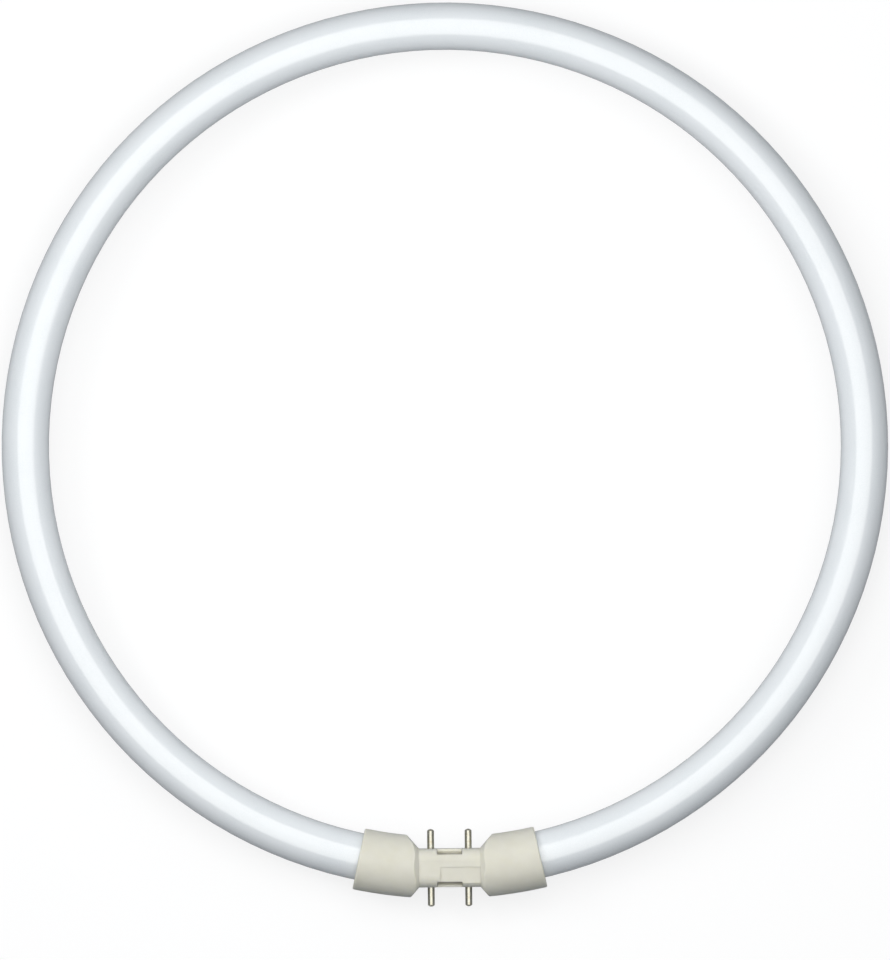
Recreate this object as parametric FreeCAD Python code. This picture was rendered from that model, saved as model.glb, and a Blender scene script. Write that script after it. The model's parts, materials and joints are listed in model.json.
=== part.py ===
"""Ring-shaped fluorescent tube with a four-pin cap across its two ends.

Sizes are in millimetres. The ring lies flat in the XY plane with its middle at the origin, +Z is the ring's
axis and the cap sits at -Y. "Inner" means towards the ring's middle, "outer" away from it, and the front
is +Z.
"""
import FreeCAD
import Part
import math
import os

# Glass ring
ring_od = 300.0
tube_d = 16.0
end_round = 3.0
exhaust_tip_d = 2.4
exhaust_tip_length = 2.5

# Cap sleeves, which slide over the tube ends
cap_length = 61.7
sleeve_wall = 2.1
bore_clearance = 0.4
cap_offset = 0.8
mouth_round = 0.6
cement_recess = 2.0
stop_land = 0.8
stop_gap = 0.7

# Bridge between the sleeves, which the lampholder grips
bridge_length = 20.8
bridge_height = 13.0
bridge_depth = 17.0
bridge_corner = 4.0
bridge_wall = 2.6
face_wall = 2.2
cavity_corner = 1.5
shoulder_run_per_rise = 0.85
shoulder_round = 0.7

# Bare panel for the type marking, a flat in the front of the bridge that slopes away outwards
panel_depth = 0.3
panel_slope = 6.0
panel_left = 3.3
panel_top = 0.4

# Contact pins
pin_d = 2.35
pin_spacing = 12.7
pin_length = 6.65
pin_tip = 0.6
shank_step = 0.2
shank_length = 0.8
collar_rim = 0.3
collar_length = 1.0
tail_d = 1.9
tail_reach = 0.8
seat_clearance = 0.05

# Lead wires
lead_d = 0.6
lead_pitch = 4.8
lead_bend = 1.5
lead_straight = 0.3
lead_grip = 1.2
lead_clearance = 0.05
lead_end_gap = 0.2

# Snap latches between the pins
latch_web = 0.35
latch_depth = 1.9
latch_clearance = 0.15
tongue_thickness = 1.2
tongue_shank = 3.7
hook_height = 1.05
hook_catch = 0.5
hook_lead_in = 0.9

# Groove along the parting line of the two shells
parting_width = 0.2
parting_depth = 0.25

# Overshoot of the shapes that cut others, and how near an edge lies to the surface it belongs to
cut_over = 1.0
edge_near = 0.05

# Sizes that follow from those above
tube_r = tube_d / 2
ring_r = ring_od / 2 - tube_r
bore_r = tube_r + bore_clearance
sleeve_r = bore_r + sleeve_wall
cap_r = ring_r + cap_offset
mouth_angle = math.degrees(cap_length / 2 / ring_r)
bridge_half_length = bridge_length / 2
bridge_half_height = bridge_height / 2
bridge_half_depth = bridge_depth / 2
shoulder_x = bridge_half_length + shoulder_run_per_rise * (sleeve_r - bridge_half_height)
bore_end_angle = math.degrees(math.asin((shoulder_x + stop_land) / (ring_r - bore_r)))
glass_end_angle = bore_end_angle + math.degrees(stop_gap / ring_r)
cement_start_angle = glass_end_angle + math.degrees(end_round / ring_r)
cement_end_angle = mouth_angle - math.degrees(cement_recess / ring_r)
pin_r = pin_d / 2
pin_x = pin_spacing / 2
shank_r = pin_r + shank_step
collar_r = shank_r + collar_rim
tail_r = tail_d / 2
tail_depth = bridge_wall + tail_reach
lead_r = lead_d / 2
notch_half_width = pin_x - collar_r - seat_clearance - latch_web
hook_top = tongue_shank + latch_clearance + hook_height

X_AXIS = FreeCAD.Vector(1, 0, 0)
Y_AXIS = FreeCAD.Vector(0, 1, 0)
Z_AXIS = FreeCAD.Vector(0, 0, 1)
ORIGIN = FreeCAD.Vector(0, 0, 0)


def point(x, y, z=0.0):
    return FreeCAD.Vector(x, y, z)


def ring_point(angle, radius):
    """Point in the ring's plane, at an angle measured from the middle of the cap towards +X."""
    turn = math.radians(angle)
    return point(radius * math.sin(turn), -radius * math.cos(turn))


def ring_tangent(angle):
    """Direction along the tube, away from the middle of the cap on the +X side."""
    turn = math.radians(angle)
    return point(math.cos(turn), math.sin(turn))


def mirrored(shape):
    """The same shape on the other side of the cap."""
    return shape.mirror(ORIGIN, X_AXIS)


def bent_rod(section_r, centre_r, start_angle, end_angle):
    """Round rod bent along the ring from one angle to another."""
    circle = Part.makeCircle(section_r, ring_point(start_angle, centre_r), ring_tangent(start_angle))
    disc = Part.Face(Part.Wire(circle))
    return disc.revolve(ORIGIN, Z_AXIS, end_angle - start_angle)


def end_circles(shape, section_r, angle):
    """Circular edges of a bent rod where it is cut off square at an angle."""
    across = ring_tangent(angle)
    found = []
    for edge in shape.Edges:
        on_plane = all(abs(v.Point.dot(across)) < edge_near for v in edge.Vertexes)
        is_circle = edge.Curve.TypeId == "Part::GeomCircle"
        if on_plane and is_circle and abs(edge.Curve.Radius - section_r) < edge_near:
            found.append(edge)
    return found


def rounded_rectangle(x, half_height, half_depth, corner):
    """Closed outline across the cap at a place along X, centred on the cap's own radius."""
    flat_y = half_height - corner
    flat_z = half_depth - corner
    diagonal = corner * math.sqrt(0.5)
    edges = []
    for turn in range(4):
        sign_y = (1, -1, -1, 1)[turn]
        sign_z = (1, 1, -1, -1)[turn]
        centre = point(x, -cap_r + sign_y * flat_y, sign_z * flat_z)
        on_y_face = centre + point(0, sign_y * corner, 0)
        on_z_face = centre + point(0, 0, sign_z * corner)
        middle = centre + point(0, sign_y * diagonal, sign_z * diagonal)
        edges.append(Part.Arc(on_y_face, middle, on_z_face).toShape())
        if sign_y == sign_z:
            edges.append(Part.makeLine(on_z_face, on_z_face - point(0, 2 * sign_y * flat_y, 0)))
        else:
            edges.append(Part.makeLine(on_y_face, on_y_face - point(0, 0, 2 * sign_z * flat_z)))
    return Part.Wire(Part.__sortEdges__(edges))


def bar_along_x(half_length, half_height, half_depth, corner):
    """Straight bar of rounded rectangular section, centred on the cap."""
    outline = rounded_rectangle(-half_length, half_height, half_depth, corner)
    return Part.Face(outline).extrude(point(2 * half_length, 0, 0))


def make_glass_tube():
    """Sealed glass ring with rounded ends, and the sealed-off exhaust tip on its left end."""
    ring = bent_rod(tube_r, ring_r, glass_end_angle, 360 - glass_end_angle)
    ends = end_circles(ring, tube_r, glass_end_angle) + end_circles(ring, tube_r, -glass_end_angle)
    ring = ring.makeFillet(end_round, ends)
    left_end = ring_point(-glass_end_angle, ring_r)
    inwards = ring_tangent(-glass_end_angle)
    tip_r = exhaust_tip_d / 2
    straight = exhaust_tip_length - tip_r
    root = left_end - inwards * tip_r
    stem = Part.makeCylinder(tip_r, straight + tip_r, root, inwards)
    dome = Part.makeSphere(tip_r, left_end + inwards * straight)
    return ring.fuse([stem, dome]).removeSplitter()


def make_cap_outside(inset):
    """Solid outer form of the cap, inset by a given depth: two bent sleeves, sloping shoulders and bridge."""
    section_r = sleeve_r - inset
    half_height = bridge_half_height - inset
    half_depth = bridge_half_depth - inset
    corner = bridge_corner - inset
    reach = cap_length
    far_x = bridge_half_length + shoulder_run_per_rise * reach
    narrow = rounded_rectangle(bridge_half_length, half_height, half_depth, corner)
    wide = rounded_rectangle(far_x, half_height + reach, half_depth + reach, corner + reach)
    shoulder = Part.makeLoft([narrow, wide], True, True)
    right = bent_rod(section_r, cap_r, 0, mouth_angle).common(shoulder)
    right = right.makeFillet(mouth_round, end_circles(right, section_r, mouth_angle))
    bridge = bar_along_x(bridge_half_length, half_height, half_depth, corner)
    outside = bridge.fuse([right, mirrored(right)]).removeSplitter()
    return outside.makeFillet(shoulder_round, shoulder_edges(outside, section_r))


def shoulder_edges(shape, section_r):
    """Edges where the sloping shoulders meet the sleeves."""
    found = []
    for edge in shape.Edges:
        middle = edge.valueAt((edge.FirstParameter + edge.LastParameter) / 2)
        ends = [abs(v.Point.x) for v in edge.Vertexes]
        across_y = math.hypot(middle.x, middle.y) - cap_r
        on_sleeve = abs(math.hypot(across_y, middle.z) - section_r) < edge_near
        if on_sleeve and max(ends) < shoulder_x + stop_land + sleeve_wall and min(ends) < max(ends):
            found.append(edge)
    return found


def pin_place(shape, side, facing):
    """Shape made along +Y from the bridge's face, moved to a pin: side -1 is left, facing -1 is outwards."""
    placed = shape.copy()
    if facing < 0:
        placed.rotate(ORIGIN, Z_AXIS, 180)
    placed.translate(point(side * pin_x, -cap_r + facing * bridge_half_height))
    return placed


def make_pin():
    """Contact pin along +Y: domed shaft outside the bridge, then shank, collar and hollow tail inside it."""
    collar_end = -shank_length - collar_length
    dome_r = (pin_r ** 2 + pin_tip ** 2) / (2 * pin_tip)
    dome_turn = math.asin(min(1.0, pin_r / dome_r)) / 2
    dome_middle = point(dome_r * math.sin(dome_turn), pin_length - dome_r + dome_r * math.cos(dome_turn))
    tail = [point(0, -tail_depth), point(tail_r, -tail_depth), point(tail_r, collar_end)]
    collar = [point(collar_r, collar_end), point(collar_r, -shank_length)]
    shank = [point(shank_r, -shank_length), point(shank_r, 0)]
    shaft = [point(pin_r, 0), point(pin_r, pin_length - pin_tip)]
    corners = [point(0, pin_length)] + tail + collar + shank + shaft
    edges = [Part.makeLine(a, b) for a, b in zip(corners[:-1], corners[1:])]
    edges.append(Part.Arc(corners[-1], dome_middle, corners[0]).toShape())
    body = Part.Face(Part.Wire(edges)).revolve(ORIGIN, Y_AXIS, 360)
    socket = Part.makeCylinder(lead_r + lead_clearance, lead_grip, point(0, -tail_depth), Y_AXIS)
    return body.cut(socket)


def make_pin_seat():
    """Space along +Y that a pin needs in the wall of the bridge."""
    shank_start = point(0, -shank_length)
    shank = Part.makeCylinder(shank_r + seat_clearance, shank_length + cut_over, shank_start, Y_AXIS)
    groove_length = collar_length + 2 * seat_clearance
    groove_start = -shank_length - collar_length - seat_clearance
    groove = Part.makeCylinder(collar_r + seat_clearance, groove_length, point(0, groove_start), Y_AXIS)
    tail = Part.makeCylinder(tail_r + seat_clearance, tail_depth, point(0, -tail_depth), Y_AXIS)
    return shank.fuse([groove, tail])


def extruded_latch(outline, half_width, facing):
    """Outline of depths below the bridge's face and heights above the parting plane, drawn out along X."""
    face_y = -cap_r + facing * bridge_half_height
    corners = [point(-half_width, face_y - facing * depth, height) for depth, height in outline]
    wire = Part.makePolygon(corners + corners[:1])
    return Part.Face(wire).extrude(point(2 * half_width, 0, 0))


def make_latch_notch(facing):
    """Open notch in the front shell that takes a tongue of the back shell."""
    outside = -cut_over
    above = bridge_half_depth + cut_over
    slide_depth = tongue_thickness + latch_clearance
    outline = [(outside, 0), (slide_depth, 0), (slide_depth, tongue_shank), (latch_depth, tongue_shank),
               (latch_depth, above), (outside, above)]
    return extruded_latch(outline, notch_half_width, facing)


def make_latch_tongue(facing):
    """Tongue of the back shell, with a hook that catches on the ledge in the notch."""
    catch_height = tongue_shank + latch_clearance
    catch_depth = tongue_thickness + hook_catch
    root = -parting_width / 2
    outline = [(0, root), (tongue_thickness, root), (tongue_thickness, catch_height),
               (catch_depth, catch_height), (catch_depth - hook_lead_in, hook_top), (0, hook_top)]
    return extruded_latch(outline, notch_half_width - latch_clearance, facing)


def make_panel_space():
    """Space above the bare marking panel, in the outer half of the bridge's front."""
    top_y = -cap_r + panel_top
    length = bridge_half_height + panel_top + cut_over
    drop = length * math.tan(math.radians(panel_slope))
    floor_z = bridge_half_depth - panel_depth
    corners = [point(-panel_left, top_y, floor_z), point(-panel_left, top_y, bridge_half_depth + cut_over),
               point(-panel_left, top_y - length, bridge_half_depth + cut_over),
               point(-panel_left, top_y - length, floor_z - drop)]
    side = Part.Face(Part.makePolygon(corners + corners[:1]))
    return side.extrude(point(panel_left + bridge_half_length, 0, 0))


def make_cap_shells():
    """Front and back halves of the cap, which close on the pins in the ring's plane."""
    right_bore = bent_rod(bore_r, ring_r, bore_end_angle, mouth_angle + cut_over)
    cavity_half_length = shoulder_x + stop_land + stop_gap + bore_clearance + sleeve_wall
    cavity = bar_along_x(cavity_half_length, bridge_half_height - bridge_wall, bridge_half_depth - face_wall,
                         cavity_corner)
    seat = make_pin_seat()
    seats = [pin_place(seat, side, facing) for side in (-1, 1) for facing in (-1, 1)]
    outside = make_cap_outside(0)
    size = 4 * cap_length
    corner_x = -size / 2
    corner_y = -cap_r - size / 2
    slab = Part.makeBox(size, size, parting_width, point(corner_x, corner_y, -parting_width / 2))
    parting_groove = outside.common(slab).cut(make_cap_outside(parting_depth))
    hollow = outside.cut([right_bore, mirrored(right_bore), cavity, parting_groove] + seats)
    half_space = Part.makeBox(size, size, size, point(corner_x, corner_y, 0))
    front = hollow.common(half_space)
    back = hollow.cut(half_space)
    front = front.cut([make_latch_notch(1), make_latch_notch(-1), make_panel_space()])
    tongues = [make_latch_tongue(facing).common(outside) for facing in (1, -1)]
    back = back.fuse(tongues).removeSplitter()
    return front, back


def make_cement():
    """Ring of basing cement between the right tube end and its sleeve."""
    outer = bent_rod(bore_r, ring_r, cement_start_angle, cement_end_angle)
    inner = bent_rod(tube_r, ring_r, cement_start_angle - cut_over, cement_end_angle + cut_over)
    return outer.cut(inner)


def make_lead(facing, glass):
    """Lead wire on the right, from the seal in the tube's end round a bend into a pin's tail."""
    glass_r = ring_r - facing * lead_pitch / 2
    inside_glass = ring_point(glass_end_angle, glass_r) + ring_tangent(glass_end_angle) * end_round
    tail_y = -cap_r + facing * (bridge_half_height - tail_depth)
    corner = point(pin_x, tail_y - facing * (lead_bend + lead_straight))
    finish = point(pin_x, tail_y + facing * (lead_grip - lead_end_gap))
    towards_glass = (inside_glass - corner).normalize()
    towards_pin = (finish - corner).normalize()
    half_turn = towards_glass.getAngle(towards_pin) / 2
    set_back = lead_bend / math.tan(half_turn)
    bisector = (towards_glass + towards_pin).normalize()
    arc_middle = corner + bisector * (lead_bend / math.sin(half_turn) - lead_bend)
    arc_start = corner + towards_glass * set_back
    arc_end = corner + towards_pin * set_back
    path = Part.Wire([Part.makeLine(inside_glass, arc_start),
                      Part.Arc(arc_start, arc_middle, arc_end).toShape(),
                      Part.makeLine(arc_end, finish)])
    section = Part.Wire(Part.makeCircle(lead_r, inside_glass, towards_glass))
    return path.makePipeShell([section], True, False).cut(glass)


def main():
    os.makedirs("parts", exist_ok=True)
    glass = make_glass_tube()
    front, back = make_cap_shells()
    nodes = {"glass_tube": glass, "cap_front_shell": front, "cap_back_shell": back}
    pin = make_pin()
    cement = make_cement()
    for facing, name in ((1, "inner"), (-1, "outer")):
        lead = make_lead(facing, glass)
        nodes["pin_" + name + "_left"] = pin_place(pin, -1, facing)
        nodes["pin_" + name + "_right"] = pin_place(pin, 1, facing)
        nodes["lead_" + name + "_left"] = mirrored(lead)
        nodes["lead_" + name + "_right"] = lead
    nodes["cement_left"] = mirrored(cement)
    nodes["cement_right"] = cement
    for name, shape in nodes.items():
        solid = shape.Solids[0]
        if len(shape.Solids) != 1 or not solid.isValid():
            raise ValueError(name + " is not one sound solid")
        solid.exportStep("parts/" + name + ".step")


main()
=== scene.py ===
"""Looks of a ring-shaped fluorescent tube: materials, floor, light and camera round the CAD model."""
import json
import math

import bpy
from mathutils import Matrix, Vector


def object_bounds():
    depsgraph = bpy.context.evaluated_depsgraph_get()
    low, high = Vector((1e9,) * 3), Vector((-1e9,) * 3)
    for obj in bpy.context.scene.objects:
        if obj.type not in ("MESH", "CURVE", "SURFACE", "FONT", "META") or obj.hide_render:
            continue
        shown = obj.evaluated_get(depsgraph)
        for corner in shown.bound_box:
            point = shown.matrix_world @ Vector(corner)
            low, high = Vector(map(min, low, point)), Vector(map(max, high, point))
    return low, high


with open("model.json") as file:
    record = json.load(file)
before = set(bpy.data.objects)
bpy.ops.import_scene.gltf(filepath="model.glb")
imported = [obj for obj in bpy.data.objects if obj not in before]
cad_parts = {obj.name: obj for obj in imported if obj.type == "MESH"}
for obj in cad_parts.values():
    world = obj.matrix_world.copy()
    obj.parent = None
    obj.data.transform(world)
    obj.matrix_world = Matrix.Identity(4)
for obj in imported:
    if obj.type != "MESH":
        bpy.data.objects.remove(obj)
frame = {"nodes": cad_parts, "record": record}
cad_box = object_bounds()

# Sizes and places in metres
mm = 0.001
photo_height = 324.9 * mm
camera_height = 5.0
camera_place = (-0.1 * mm, -11.6 * mm)
camera_reach = 100.0
floor_size = 8.0

# Turn of the camera about its line of sight, in radians
camera_roll = math.radians(0.65)

# Colours, linear
coat_white = (0.795, 0.824, 0.840, 1)
coat_grey = (0.768, 0.803, 0.820, 1)
cap_cream = (0.718, 0.703, 0.618, 1)
cap_shade = (0.691, 0.674, 0.586, 1)
nickel = (0.56, 0.56, 0.49, 1)
nickel_worn = (0.48, 0.43, 0.32, 1)
wire_grey = (0.58, 0.57, 0.55, 1)
wire_dark = (0.42, 0.40, 0.38, 1)
cement_pale = (0.66, 0.62, 0.52, 1)
cement_dark = (0.52, 0.48, 0.39, 1)
floor_in_picture = (0.97, 0.97, 0.97, 1)
floor_in_gloss = (0.35, 0.35, 0.35, 1)
floor_bounce = (0.20, 0.22, 0.25, 1)
white = (1, 1, 1, 1)
sky = (0.88, 1.0, 1.14, 1)
lamp_white = (1, 1, 1)
shine_white = (1.08, 1.0, 0.86)

# Brightness of the sky
sky_level = 0.10

# Share of plain white in the floor and the sky, as the picture shows them and as gloss and glass show them
white_in_picture = 0.8
white_in_gloss = 0.1

# Range that most values of a noise lie in
noise_low = 0.3
noise_high = 0.7


class Nodes:
    """Short ways to add and join the nodes of one material or world."""

    def __init__(self, tree):
        self.tree = tree
        tree.nodes.clear()

    def add(self, kind, inputs=None, **settings):
        node = self.tree.nodes.new(kind)
        for name, value in settings.items():
            setattr(node, name, value)
        for name, value in (inputs or {}).items():
            self.put(value, node.inputs[name])
        return node

    def put(self, value, socket):
        if isinstance(value, bpy.types.NodeSocket):
            self.tree.links.new(value, socket)
        else:
            socket.default_value = value

    def place(self):
        """The place on the object, in metres."""
        return self.add("ShaderNodeTexCoord").outputs["Object"]

    def noise(self, place, scale, detail=2.0, roughness=0.5):
        inputs = {"Vector": place, "Scale": scale, "Detail": detail, "Roughness": roughness}
        return self.add("ShaderNodeTexNoise", inputs).outputs["Fac"]

    def ramp(self, factor, first, second, low, high):
        """The first colour up to low, the second from high on, and a blend between them."""
        node = self.add("ShaderNodeValToRGB", {"Fac": factor})
        node.color_ramp.elements[0].position = low
        node.color_ramp.elements[0].color = first
        node.color_ramp.elements[1].position = high
        node.color_ramp.elements[1].color = second
        return node.outputs["Color"]

    def spread(self, noise, low, high):
        """A value that follows a noise between low and high."""
        span = {"From Min": noise_low, "From Max": noise_high, "To Min": low, "To Max": high}
        return self.add("ShaderNodeMapRange", {"Value": noise, **span}).outputs["Result"]

    def math(self, operation, first, second):
        return self.add("ShaderNodeMath", {0: first, 1: second}, operation=operation).outputs["Value"]

    def mix(self, factor, first, second):
        node = self.add("ShaderNodeMix", data_type="RGBA")
        self.put(factor, node.inputs["Factor"])
        colours = [socket for socket in node.inputs if socket.type == "RGBA"]
        for colour, socket in zip((first, second), colours):
            self.put(colour, socket)
        return next(socket for socket in node.outputs if socket.type == "RGBA")

    def mix_shaders(self, share, first, second):
        return self.add("ShaderNodeMixShader", {0: share, 1: first, 2: second}).outputs["Shader"]

    def bump(self, height, depth, strength=1.0):
        inputs = {"Height": height, "Distance": depth, "Strength": strength}
        return self.add("ShaderNodeBump", inputs).outputs["Normal"]


def new_material(name):
    material = bpy.data.materials.new(name)
    material.use_nodes = True
    return material, Nodes(material.node_tree)


def surface(nodes, inputs):
    shader = nodes.add("ShaderNodeBsdfPrincipled", inputs)
    nodes.add("ShaderNodeOutputMaterial", {"Surface": shader.outputs["BSDF"]})


def coated_glass():
    """Clear glass, a little wavy from bending, over a fine white powder coat of uneven thickness."""
    material, nodes = new_material("coated_glass_look")
    place = nodes.place()
    cloud = nodes.noise(place, scale=55, detail=3)
    grain = nodes.noise(place, scale=2600, detail=1)
    wave = nodes.bump(nodes.noise(place, scale=28, detail=1), depth=0.05 * mm)
    surface(nodes, {
        "Base Color": nodes.ramp(nodes.math("ADD", cloud, grain), coat_grey, coat_white, low=0.75, high=1.0),
        "Roughness": nodes.spread(nodes.noise(place, scale=140), low=0.42, high=0.52),
        "Specular IOR Level": 0.0,
        "Coat Weight": 1.0,
        "Coat Roughness": 0.10,
        "Coat IOR": 1.8,
        "Coat Normal": wave,
        "Normal": wave,
    })
    return material


def cap_plastic():
    """Cream satin moulding with fine grain, flow clouds, a skin duller here and there and light under it."""
    material, nodes = new_material("cap_plastic_look")
    place = nodes.place()
    cloud = nodes.noise(place, scale=180, detail=4)
    grain = nodes.noise(place, scale=3800, detail=2, roughness=0.6)
    surface(nodes, {
        "Base Color": nodes.ramp(cloud, cap_shade, cap_cream, low=0.35, high=0.65),
        "Roughness": nodes.spread(nodes.noise(place, scale=600, detail=3), low=0.5, high=0.62),
        "Specular IOR Level": 0.25,
        "Subsurface Weight": 0.8,
        "Subsurface Radius": (1.0, 1.0, 0.85),
        "Subsurface Scale": 1.0 * mm,
        "Normal": nodes.bump(grain, depth=0.02 * mm, strength=0.6),
    })
    return material


def pin_metal():
    """Nickel plating over brass, drawn along its length, with the brass starting to show."""
    material, nodes = new_material("pin_metal_look")
    place = nodes.place()
    drawn = nodes.add("ShaderNodeMapping", {"Vector": place, "Scale": (1, 0.06, 1)}).outputs["Vector"]
    lines = nodes.noise(drawn, scale=9000, detail=2)
    worn = nodes.noise(place, scale=900, detail=4)
    surface(nodes, {
        "Base Color": nodes.ramp(worn, nickel, nickel_worn, low=0.45, high=0.75),
        "Metallic": 1.0,
        "Roughness": nodes.spread(lines, low=0.24, high=0.34),
        "Normal": nodes.bump(lines, depth=0.004 * mm, strength=0.5),
    })
    return material


def lead_wire():
    """Bare plated wire, a little dull."""
    material, nodes = new_material("lead_wire_look")
    place = nodes.place()
    stain = nodes.noise(place, scale=1200, detail=3)
    surface(nodes, {
        "Base Color": nodes.ramp(stain, wire_grey, wire_dark, low=0.35, high=0.7),
        "Metallic": 1.0,
        "Roughness": nodes.spread(stain, low=0.28, high=0.42),
        "Normal": nodes.bump(nodes.noise(place, scale=7000), depth=0.004 * mm, strength=0.5),
    })
    return material


def cement():
    """Set basing cement: dull and grainy, with small pores."""
    material, nodes = new_material("cement_look")
    grain = nodes.noise(nodes.place(), scale=1600, detail=5, roughness=0.65)
    surface(nodes, {
        "Base Color": nodes.ramp(grain, cement_dark, cement_pale, low=0.35, high=0.65),
        "Roughness": 0.9,
        "Normal": nodes.bump(grain, depth=0.08 * mm, strength=0.8),
    })
    return material


def dress_nodes():
    """Gives every CAD node the material of its slot."""
    looks = {
        "coated_glass": coated_glass(),
        "cap_plastic": cap_plastic(),
        "pin_metal": pin_metal(),
        "lead_wire": lead_wire(),
        "cement": cement(),
    }
    for subpart in frame["record"]["subparts"]:
        piece = frame["nodes"][subpart["node"]]
        piece.data.materials[0] = looks[subpart["material_slot"]]


def kinds_of_ray(nodes):
    """1 for the picture's own rays, and 1 for rays that show the surroundings in gloss or through glass."""
    path = nodes.add("ShaderNodeLightPath").outputs
    return path["Is Camera Ray"], nodes.math("MAXIMUM", path["Is Glossy Ray"], path["Is Transmission Ray"])


def add_floor():
    """A white floor under the lowest point, which shows the shadow faintly."""
    material, nodes = new_material("floor_look")
    picture, gloss = kinds_of_ray(nodes)
    colour = nodes.mix(gloss, nodes.mix(picture, floor_bounce, floor_in_picture), floor_in_gloss)
    matt = nodes.add("ShaderNodeBsdfDiffuse", {"Color": colour})
    glow = nodes.add("ShaderNodeEmission", {"Color": white, "Strength": 1.0})
    picture_share = nodes.math("MULTIPLY", picture, white_in_picture)
    share = nodes.math("ADD", picture_share, nodes.math("MULTIPLY", gloss, white_in_gloss))
    both = nodes.mix_shaders(share, matt.outputs["BSDF"], glow.outputs["Emission"])
    nodes.add("ShaderNodeOutputMaterial", {"Surface": both})
    bpy.ops.mesh.primitive_grid_add(x_subdivisions=8, y_subdivisions=8, size=floor_size)
    floor = bpy.context.object
    floor.name = "floor"
    floor.location.z = cad_box[0].z
    floor.data.materials.append(material)


def add_world():
    """A dim cool sky; the picture's own background is white."""
    world = bpy.data.worlds.new("studio")
    bpy.context.scene.world = world
    world.use_nodes = True
    nodes = Nodes(world.node_tree)
    picture, gloss = kinds_of_ray(nodes)
    share = nodes.math("ADD", picture, nodes.math("MULTIPLY", gloss, white_in_gloss))
    around = nodes.add("ShaderNodeBackground", {"Color": sky, "Strength": sky_level})
    behind = nodes.add("ShaderNodeBackground", {"Color": white})
    both = nodes.mix_shaders(share, around.outputs["Background"], behind.outputs["Background"])
    nodes.add("ShaderNodeOutputWorld", {"Surface": both})


def direction(clock_angle, elevation):
    """The direction at a clock angle as the photograph shows it, raised from the floor."""
    turn, rise = math.radians(clock_angle), math.radians(elevation)
    return Vector((math.cos(rise) * math.sin(turn), math.cos(rise) * math.cos(turn), math.sin(rise)))


def add_softbox(name, clock_angle, elevation, distance, radius, brightness,
                colour=lamp_white, in_gloss=True, in_light=True):
    """A round soft lamp turned to the ring's middle; at brightness 1 its own face is white."""
    light = bpy.data.lights.new(name, "AREA")
    light.shape = "DISK"
    light.size = 2 * radius
    light.energy = brightness * math.pi * math.pi * radius ** 2
    light.color = colour
    place = distance * direction(clock_angle, elevation)
    lamp = bpy.data.objects.new(name, light)
    lamp.location = place
    lamp.rotation_euler = (-place).to_track_quat("-Z", "Y").to_euler()
    lamp.visible_camera = False
    lamp.visible_glossy = in_gloss
    lamp.visible_diffuse = in_light
    bpy.context.scene.collection.objects.link(lamp)


def add_lamps():
    """A wide lamp overhead, whose image in the glass is its white band, and others that only light."""
    add_softbox("overhead", clock_angle=0, elevation=90,
                distance=2.5, radius=2.05, brightness=1.1)
    add_softbox("overhead_shine", clock_angle=0, elevation=90,
                distance=2.49, radius=2.03, brightness=0.55, colour=shine_white, in_light=False)
    add_softbox("over_the_middle", clock_angle=0, elevation=90,
                distance=0.3, radius=0.12, brightness=1.85, in_gloss=False)
    add_softbox("top", clock_angle=0, elevation=42,
                distance=1.3, radius=0.6, brightness=0.7, in_gloss=False)
    add_softbox("left", clock_angle=288, elevation=40,
                distance=1.3, radius=0.25, brightness=8.5, in_gloss=False)
    add_softbox("right", clock_angle=85, elevation=42,
                distance=1.3, radius=0.6, brightness=0.65, in_gloss=False)


def add_camera():
    """Looks straight down on the ring, as the photograph looks at it from the front."""
    camera = bpy.data.cameras.new("camera")
    camera.lens = camera.sensor_width * camera_height / photo_height
    camera.clip_end = camera_reach
    eye = bpy.data.objects.new("camera", camera)
    eye.location = (*camera_place, camera_height)
    eye.rotation_euler = (0, 0, -camera_roll)
    bpy.context.scene.collection.objects.link(eye)
    bpy.context.scene.camera = eye


dress_nodes()
add_floor()
add_world()
add_lamps()
add_camera()
bpy.context.scene.view_settings.view_transform = "Standard"
